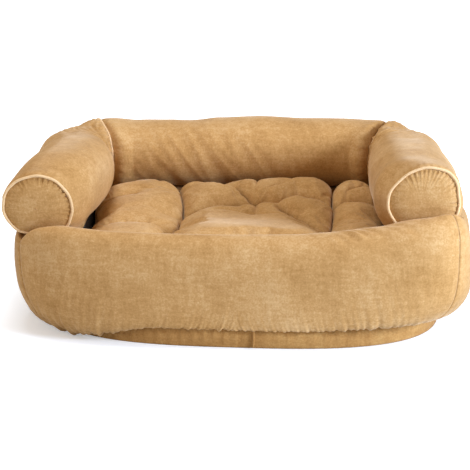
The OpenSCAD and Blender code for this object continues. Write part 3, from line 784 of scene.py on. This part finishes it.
# Band and bottom
def band_sheet(name):
    """The gathered band, from the floor to its seam with the wall."""

    def place(u, v):
        turn = u * 2 * pi
        x, y = outline(turn, *BAND_OUTLINE, np.where(np.sin(turn) < 0, BAND_SQUARE, BAND_REAR_SQUARE))
        pleats = gathers(u, 88, 21) * (0.45 + 0.55 * smooth(np.abs(x), 60 * MM, 300 * MM))
        bulge = 2.0 * MM * np.sin(pi * v) + 5.5 * MM * pleats * (0.15 + 0.85 * v)
        length = np.hypot(x, y)
        at_front = smooth(-y, 100 * MM, 250 * MM)
        top = BAND_H + 3 * MM + 12 * MM * smooth(x, 120 * MM, 350 * MM) * at_front
        top = top - 32 * MM * smooth(-x, 150 * MM, 330 * MM) * smooth(-y, 0, 200 * MM)
        x, y = turn_base(x * (1 + bulge / length), y * (1 + bulge / length))
        return np.stack([x, y, v * top + 0.6 * MM], 1)

    return shaped_grid(name, 520, 14, place)


def base_slab(name, half_w, half_d, low, high):
    """A flat block or cloth inside the base, from one height to another."""
    bm = bmesh.new()
    bmesh.ops.create_circle(bm, cap_ends=True, segments=160, radius=1)
    for vert in bm.verts:
        turn = np.arctan2(vert.co.y, vert.co.x)
        x, y = outline(turn, half_w, half_d, half_d - 8, BAND_REAR_SQUARE)
        vert.co = (*turn_base(x, y), low * MM)
    top = bmesh.ops.extrude_face_region(bm, geom=list(bm.faces))
    raised = [part for part in top["geom"] if isinstance(part, bmesh.types.BMVert)]
    bmesh.ops.translate(bm, vec=(0, 0, (high - low) * MM), verts=raised)
    bmesh.ops.recalc_face_normals(bm, faces=bm.faces)
    return as_piece(name, bm)


def folded_tab(name, at_x, half_w, stand):
    """The end of the band's seam, folded flat and standing up the front of the band."""

    def place(u, v):
        own = 2 * pi * u
        closed = np.maximum(0, 1 - (2 * v - 1) ** 20) ** 0.5
        x, y = outline(np.full_like(u, np.arctan2(-BAND_FRONT, at_x)), *BAND_OUTLINE, BAND_SQUARE)
        x, y = turn_base(x, y)
        lean = 0.8 * MM * np.sin(2.5 * v)
        across = np.sign(np.cos(own)) * np.abs(np.cos(own)) ** 0.6
        proud = stand * (0.35 + 0.65 * np.sin(own))
        px = x + lean + half_w * across * closed
        return np.stack([px, y - 1.5 * MM - proud * closed, (3 + 43 * v) * MM], 1)

    return shaped_grid(name, 24, 30, place)


band = band_sheet("gathered_band")
dress(thicken(band), "suede_dark", "base", "band")
tab = folded_tab("seam_tab", 36, 1.9 * MM, 5.0 * MM)
dress(tab, "suede_dark", "base", "band_seam_tab")
block = base_slab("base_block", 378, 280, 2.6, 34)
dress(block, "foam", "base", "base_foam")
block.data.shade_flat()
bottom = base_slab("bottom_cloth", 380, 282, 0, 2)
dress(bottom, "bottom_cloth", "base", "bottom_panel")
bottom.data.shade_flat()

lining = base_slab("well_lining", 306, 196, 90.1, 91.6)
dress(lining, "lining", "base", "seat_lining")
lining.data.shade_flat()


# Pillow
# Where the pillow is tied down, in plan
TUFTS = np.array([(-127, 95), (35, 65), (204, 43), (-131, -108), (196, -108)]) * MM
# Creases in plan, in millimetres: how deep, how wide, how far the cloth on the right
# hand of the line laps over it, and the line
CREASES = [
    (52, 53, 0, [(-127, 95), (-134, 130), (-140, 185)]),
    (46, 53, 0, [(-127, 95), (-119, 50), (-119, -30), (-131, -108)]),
    (36, 47, 0, [(-131, -108), (-140, -170), (-142, -260)]),
    (54, 50, 0, [(204, 43), (200, 90), (202, 130), (204, 185)]),
    (44, 50, 0, [(204, 43), (200, -40), (196, -108)]),
    (36, 47, 0, [(196, -108), (204, -170), (206, -260)]),
    (10, 60, 0, [(35, 65), (38, 110), (40, 185)]),
    (44, 43, 5, [(-127, 95), (-98, 122), (-50, 132), (-12, 118), (14, 90), (35, 65)]),
    (34, 40, 4, [(35, 65), (85, 66), (128, 82), (168, 68), (204, 43)]),
    (38, 46, 5, [(-310, -118), (-240, -96), (-190, -88), (-131, -108)]),
    (42, 41, 4, [(204, 43), (238, 60), (320, 56)]),
    (40, 40, 5, [(-122, -20), (-84, 22), (-48, 44), (35, 65)]),
    (36, 30, -4, [(90, 40), (140, -20), (196, -108)]),
    (16, 64, 0, [(35, 65), (42, 0)]),
    (9, 30, 2, [(-300, 24), (-262, 54), (-226, 60)]),
    (8, 26, 2, [(-306, 84), (-276, 112), (-240, 120)]),
    (9, 28, 2, [(310, 104), (270, 104), (236, 84)]),
    (10, 26, 3, [(50, 72), (66, 98), (100, 108)]),
]


def line_distance(px, py, line):
    """Distance from a line in plan, 1 on its right hand or -1 on its left, and the
    direction to the line."""
    best, hand = np.full(px.shape, 9.0), np.zeros(px.shape)
    way = np.zeros((len(px), 2))
    for (ax, ay), (bx, by) in zip(line[:-1], line[1:]):
        ax, ay, bx, by = (c * MM for c in (ax, ay, bx, by))
        run = (bx - ax) ** 2 + (by - ay) ** 2
        t = np.clip(((px - ax) * (bx - ax) + (py - ay) * (by - ay)) / run, 0, 1)
        to_line = np.stack([ax + t * (bx - ax) - px, ay + t * (by - ay) - py], 1)
        d = np.hypot(to_line[:, 0], to_line[:, 1])
        right_hand = (by - ay) * (px - ax) - (bx - ax) * (py - ay)
        hand = np.where(d < best, np.sign(right_hand), hand)
        way = np.where((d < best)[:, None], to_line / np.maximum(d, 1e-9)[:, None], way)
        best = np.minimum(best, d)
    return best, hand, way


def pillow_plan(u, v):
    """A place in the pillow's plan: u and v from -1 to 1, closer towards the seam."""
    u, v = np.sin(u * pi / 2), np.sin(v * pi / 2)
    big = np.maximum(np.abs(u), np.abs(v))
    norm = (np.abs(u) ** PILLOW_SQUARE + np.abs(v) ** PILLOW_SQUARE) ** (1 / PILLOW_SQUARE)
    k = np.where(norm > 0, big / np.maximum(norm, 1e-9), 0)
    return u * k, v * k


def fullness(a, b, square):
    """1 over the pillow's middle and 0 at its seam, by how square its section is."""
    share = (np.abs(a) ** PILLOW_SQUARE + np.abs(b) ** PILLOW_SQUARE) ** (1 / PILLOW_SQUARE)
    return np.sqrt(np.maximum(0, 1 - share**square))


def round_valley(t):
    """The depth between two full lobes: 1 at their crease, 0 from t = 1 on."""
    t = np.clip(t, 0, 1)
    return 0.75 * (1 - np.sqrt(np.maximum(0, 1 - (1 - t) ** 2))) + 0.25 * (1 - t) ** 2


def tuft_spokes(x, y, tuft, finer):
    """The distance from a tuft, and the small folds that run out from it."""
    tx, ty = tuft
    about = np.arctan2(y - ty, x - tx)
    spokes = np.sin(9 * about + 40 * tx / MM) + 0.6 * np.sin(finer * about + 11 * ty / MM)
    return np.hypot(x - tx, y - ty), spokes


def zip_slot(x, y, z):
    """How far the pillow's cover is set back at its rear seam, where the zip shows."""
    beside = (1 - smooth(np.abs(z - SEAM_Z), 2 * MM, 9 * MM)) * (1 - smooth(np.abs(x), *PILLOW_SLOT_ENDS))
    return PILLOW_SLOT_D * beside * (y > 140 * MM)


def pillow_top(a, b):
    """A point of the pillow's upper side, at a place in its plan from -1 to 1."""
    x, y = a * PILLOW_W, b * PILLOW_D + PILLOW_Y
    crown = (38 + 48 * smooth(b, 0.0, 0.8)) * MM
    left = smooth(-a, 0.4, 0.6)
    crown = crown - 9 * MM * left * smooth(b, 0.2, 0.8) + 10 * MM * left * smooth(-b, 0.25, 0.5)
    crown = crown - 9 * MM * np.exp(-((a / 0.36) ** 2)) * smooth(b, -0.6, -0.1) * (1 - smooth(b, 0.5, 0.75))
    depth = np.zeros_like(x)
    lap = np.zeros_like(x)
    for deep, wide, over, line in CREASES:
        d, hand, _ = line_distance(x, y, line)
        bottom = (deep + DEEPER_BY * (deep > DEEP_CREASE)) * MM
        valley = np.minimum(bottom, crown + 4 * MM) * round_valley(d / (wide * MM))
        # Where creases meet, the cloth goes a little lower than in either
        depth = np.maximum(depth, valley) + 0.25 * np.minimum(depth, valley)
        lap = lap + over * MM * np.maximum(hand, 0) * np.exp(-d / (22 * MM)) * smooth(d, 0, 5 * MM)
    drawn = np.zeros_like(x)
    for tuft in TUFTS:
        d, spokes = tuft_spokes(x, y, tuft, 5)
        drawn = np.maximum(drawn, (crown + 4 * MM) * np.exp(-d / (20 * MM)))
        depth = depth + 1.6 * MM * spokes * np.exp(-d / (38 * MM)) * smooth(d, 4 * MM, 18 * MM)
    depth = np.minimum(np.maximum(depth, drawn), crown + 8 * MM) - lap
    pts = np.stack([x, y, 0 * x], 1)
    depth = depth + 2.0 * MM * soft_noise(pts, 90 * MM, 3) + 0.4 * MM * soft_noise(pts, 26 * MM, 4)
    square = 12 + 14 * smooth(b, 0, 0.8) - 4 * smooth(-b, 0.3, 0.9)
    z = SEAM_Z + (crown - depth) * fullness(a, b, square)
    return x, y - zip_slot(x, y, z), z


def pillow_piece(name, across=184, along=128):
    """The pillow's upper panel, laid over its lobes before it is filled."""

    def top(u, v):
        return np.stack(pillow_top(*pillow_plan(2 * u - 1, 2 * v - 1)), 1)

    return shaped_grid(name, across, along, top)


def corners_of(mesh):
    """A copy of the places of a mesh's corners."""
    flat = np.empty(len(mesh.vertices) * 3)
    mesh.vertices.foreach_get("co", flat)
    return flat.reshape(-1, 3)


def held_down(mesh):
    """1 at the seam, the tufts and the creases' lines, where the cover is sewn or drawn in."""
    x, y, z = corners_of(mesh).T
    held = (z < SEAM_Z + 1.5 * MM).astype(float)
    for tx, ty in TUFTS:
        held = np.maximum(held, 1 - smooth(np.hypot(x - tx, y - ty), 4 * MM, 8 * MM))
    for deep, _, _, line in CREASES:
        d = line_distance(x, y, line)[0]
        held = np.maximum(held, min(1, deep / DEEP_CREASE) * (1 - smooth(d, 1 * MM, 4.5 * MM)))
    return held


def fill_out(piece, held, pressure, furthest, frames=20):
    """Swells a cover under cloth simulation and keeps the result on its mesh."""
    mesh = piece.data
    before = corners_of(mesh)
    group = piece.vertex_groups.new(name="held")
    for index, weight in enumerate(held):
        group.add([index], float(weight), "REPLACE")
    cloth = piece.modifiers.new("filling", "CLOTH")
    ways = cloth.settings
    ways.quality = 6
    ways.mass = 0.3
    ways.tension_stiffness = 15
    ways.compression_stiffness = 15
    ways.shear_stiffness = 5
    ways.bending_stiffness = 0.3
    ways.use_pressure = True
    ways.uniform_pressure_force = pressure
    ways.shrink_min = -0.05
    ways.vertex_group_mass = "held"
    ways.effector_weights.gravity = 0
    cloth.collision_settings.use_collision = False
    cloth.point_cache.frame_end = frames
    for at in range(1, frames + 1):
        bpy.context.scene.frame_set(at)
    filled = piece.evaluated_get(bpy.context.evaluated_depsgraph_get())
    move = corners_of(filled.data) - before
    length = np.linalg.norm(move, axis=1)
    move *= np.minimum(1, furthest / np.maximum(length, 1e-9))[:, None]
    mesh.vertices.foreach_set("co", (before + move).ravel())
    piece.modifiers.remove(cloth)
    piece.vertex_groups.remove(group)
    bpy.context.scene.frame_set(1)
    mesh.update()


def draw_in(piece):
    """Draws the filled cover in towards its creases and tufts, so that each stays thin."""
    mesh = piece.data
    p = corners_of(mesh)
    for deep, _, _, line in CREASES:
        strength = min(1, deep / 40)
        d, _, way = line_distance(p[:, 0], p[:, 1], line)
        free = smooth(p[:, 2] - SEAM_Z, 2 * MM, 14 * MM)
        pull = np.minimum(0.88 * d, strength * 15 * MM * np.exp(-d / (19 * MM))) * free
        p[:, :2] += way * pull[:, None]
        p[:, 2] -= free * strength * 9 * MM * np.exp(-((d / (7 * MM)) ** 2))
    for tuft in TUFTS:
        d, spokes = tuft_spokes(p[:, 0], p[:, 1], tuft, 14)
        p[:, 2] += 1.5 * MM * spokes * np.exp(-d / (40 * MM)) * smooth(d, 6 * MM, 24 * MM)
    mesh.vertices.foreach_set("co", p.ravel())
    mesh.update()


def pillow_under(name, across=120, along=80):
    """The pillow's lower panel."""

    def place(u, v):
        a, b = pillow_plan(2 * u - 1, 2 * v - 1)
        x, y = a * PILLOW_W, b * PILLOW_D + PILLOW_Y
        z = SEAM_Z - (SEAM_Z - PILLOW_Z) * fullness(a, b, 9)
        return np.stack([x, y - zip_slot(x, y, z), z], 1)

    return shaped_grid(name, across, along, place)


def pillow_stuffing_piece(name, across=60, along=40):
    """The loose fibre inside the pillow, below its deepest creases."""

    def place(u, v):
        lower = v < 0.5
        ring = np.abs(2 * v - 1)
        turn = 2 * pi * u
        x, y = outline(turn, 296, 190, 190, PILLOW_SQUARE)
        a = (1 - ring) ** 0.6
        rise = np.where(lower, PILLOW_Z + 8 * MM - SEAM_Z, -30 * MM) * np.sqrt(1 - np.minimum(a, 1) ** 6)
        return np.stack([x * a, y * a + PILLOW_Y, SEAM_Z + rise], 1)

    return shaped_grid(name, across, along, place)


stuffing = pillow_stuffing_piece("pillow_stuffing")
dress(stuffing, "fibre", "pillow", "pillow_fill", "tuft_ties")
pillow = pillow_piece("pillow_upper_panel")
fill_out(pillow, held_down(pillow.data), 6.0, 18 * MM)
draw_in(pillow)
finer = pillow.modifiers.new("finer", "SUBSURF")
finer.levels = 1
finer.render_levels = 1
dress(pillow, "suede", "pillow", "pillow_top", fill=0.75)
under = pillow_under("pillow_lower_panel")
dress(thicken(under), "suede", "pillow", "pillow_bottom", fill=0.75)


# Nodes that stay, with the finish of each
NODE_FINISH = {
    "seat_foam": FOAM, "pillow_zip": ZIP_TAPE,
    "left_arm_zip": ZIP_TAPE, "right_arm_zip": ZIP_TAPE, "back_zip": ZIP_TAPE,
}
for name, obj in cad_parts.items():
    finish = NODE_FINISH.get(name, BRASS if "slider" in name or "pull" in name else None)
    if finish is None:
        continue
    if not obj.data.materials:
        obj.data.materials.append(finish)
    for i in range(len(obj.material_slots)):
        obj.material_slots[i].material = finish


# Floor, light and camera
def seen_rays(tree):
    """1 for rays that the camera sees, also by reflection and through clear things."""
    rays = add(tree, "ShaderNodeLightPath")
    seen = combined(tree, "MAXIMUM", rays.outputs["Is Camera Ray"], rays.outputs["Is Glossy Ray"])
    return combined(tree, "MAXIMUM", seen, rays.outputs["Is Transmission Ray"])


def floor_material():
    """Pale painted floor, which the camera sees as white and which keeps the shadow."""
    mat, tree, bsdf = new_material("pale_matt_paint", Roughness=0.9)
    bsdf.inputs["Base Color"].default_value = linear("#e3ecf6")
    far = add(tree, "ShaderNodeVectorMath", [(own_place(tree), 0)], operation="LENGTH")
    glow = rescaled(tree, far.outputs["Value"], 0.36, 1.1, start=0.4, end=1.0)
    strength = combined(tree, "MULTIPLY", seen_rays(tree), glow)
    tree.links.new(strength, bsdf.inputs["Emission Strength"])
    bsdf.inputs["Emission Color"].default_value = (1, 1, 1, 1)
    return mat


bm = bmesh.new()
bmesh.ops.create_grid(bm, x_segments=1, y_segments=1, size=30)
floor = as_piece("floor", bm)
floor.data.materials.append(floor_material())

world = bpy.data.worlds.new("studio")
bpy.context.scene.world = world
world.use_nodes = True
tree = world.node_tree
seen = seen_rays(tree)
backdrop = tree.nodes["Background"].inputs
tree.links.new(rescaled(tree, seen, 0.34, 1.0), backdrop["Strength"])
tree.links.new(ramp(tree, seen, [(0.0, "#ffe6d0"), (1.0, "#ffffff")]), backdrop["Color"])


def softbox(name, place, aim, size, watts, colour):
    """A square lamp at a place, aimed at a point."""
    data = bpy.data.lights.new(name, "AREA")
    data.shape = "SQUARE"
    data.size = size
    data.energy = watts
    data.color = linear(colour)[:3]
    lamp = bpy.data.objects.new(name, data)
    bpy.context.scene.collection.objects.link(lamp)
    lamp.location = place
    lamp.rotation_euler = (Vector(aim) - Vector(place)).to_track_quat("-Z", "Y").to_euler()


softbox("key_light", (2.35, -1.3, 0.95), (0.1, 0, 0.15), 0.7, 102, "#dceaff")
softbox("top_light", (-0.4, -0.2, 2.3), (0, 0, 0.2), 0.8, 27, "#eff4fa")
softbox("fill_light", (-2.2, -1.4, 0.9), (0, 0, 0.2), 0.9, 12, "#fff6ea")

PHOTO_PX = 470
FOCAL_PX = 1800
SENSOR_MM = 36
cam_data = bpy.data.cameras.new("camera")
cam_data.sensor_width = SENSOR_MM
cam_data.lens = FOCAL_PX / PHOTO_PX * SENSOR_MM
camera = bpy.data.objects.new("camera", cam_data)
bpy.context.scene.collection.objects.link(camera)
elevation, swing, distance = radians(15.13), radians(2.80), 3.835
aim = Vector((-4.6 * MM, 0, 150.0 * MM))
away = Vector((sin(swing) * cos(elevation), -cos(swing) * cos(elevation), sin(elevation)))
camera.location = aim + away * distance
camera.rotation_euler = away.to_track_quat("Z", "Y").to_euler()
cam_data.clip_start, cam_data.clip_end = 0.1, 60
bpy.context.scene.camera = camera
bpy.context.scene.view_settings.view_transform = "Standard"
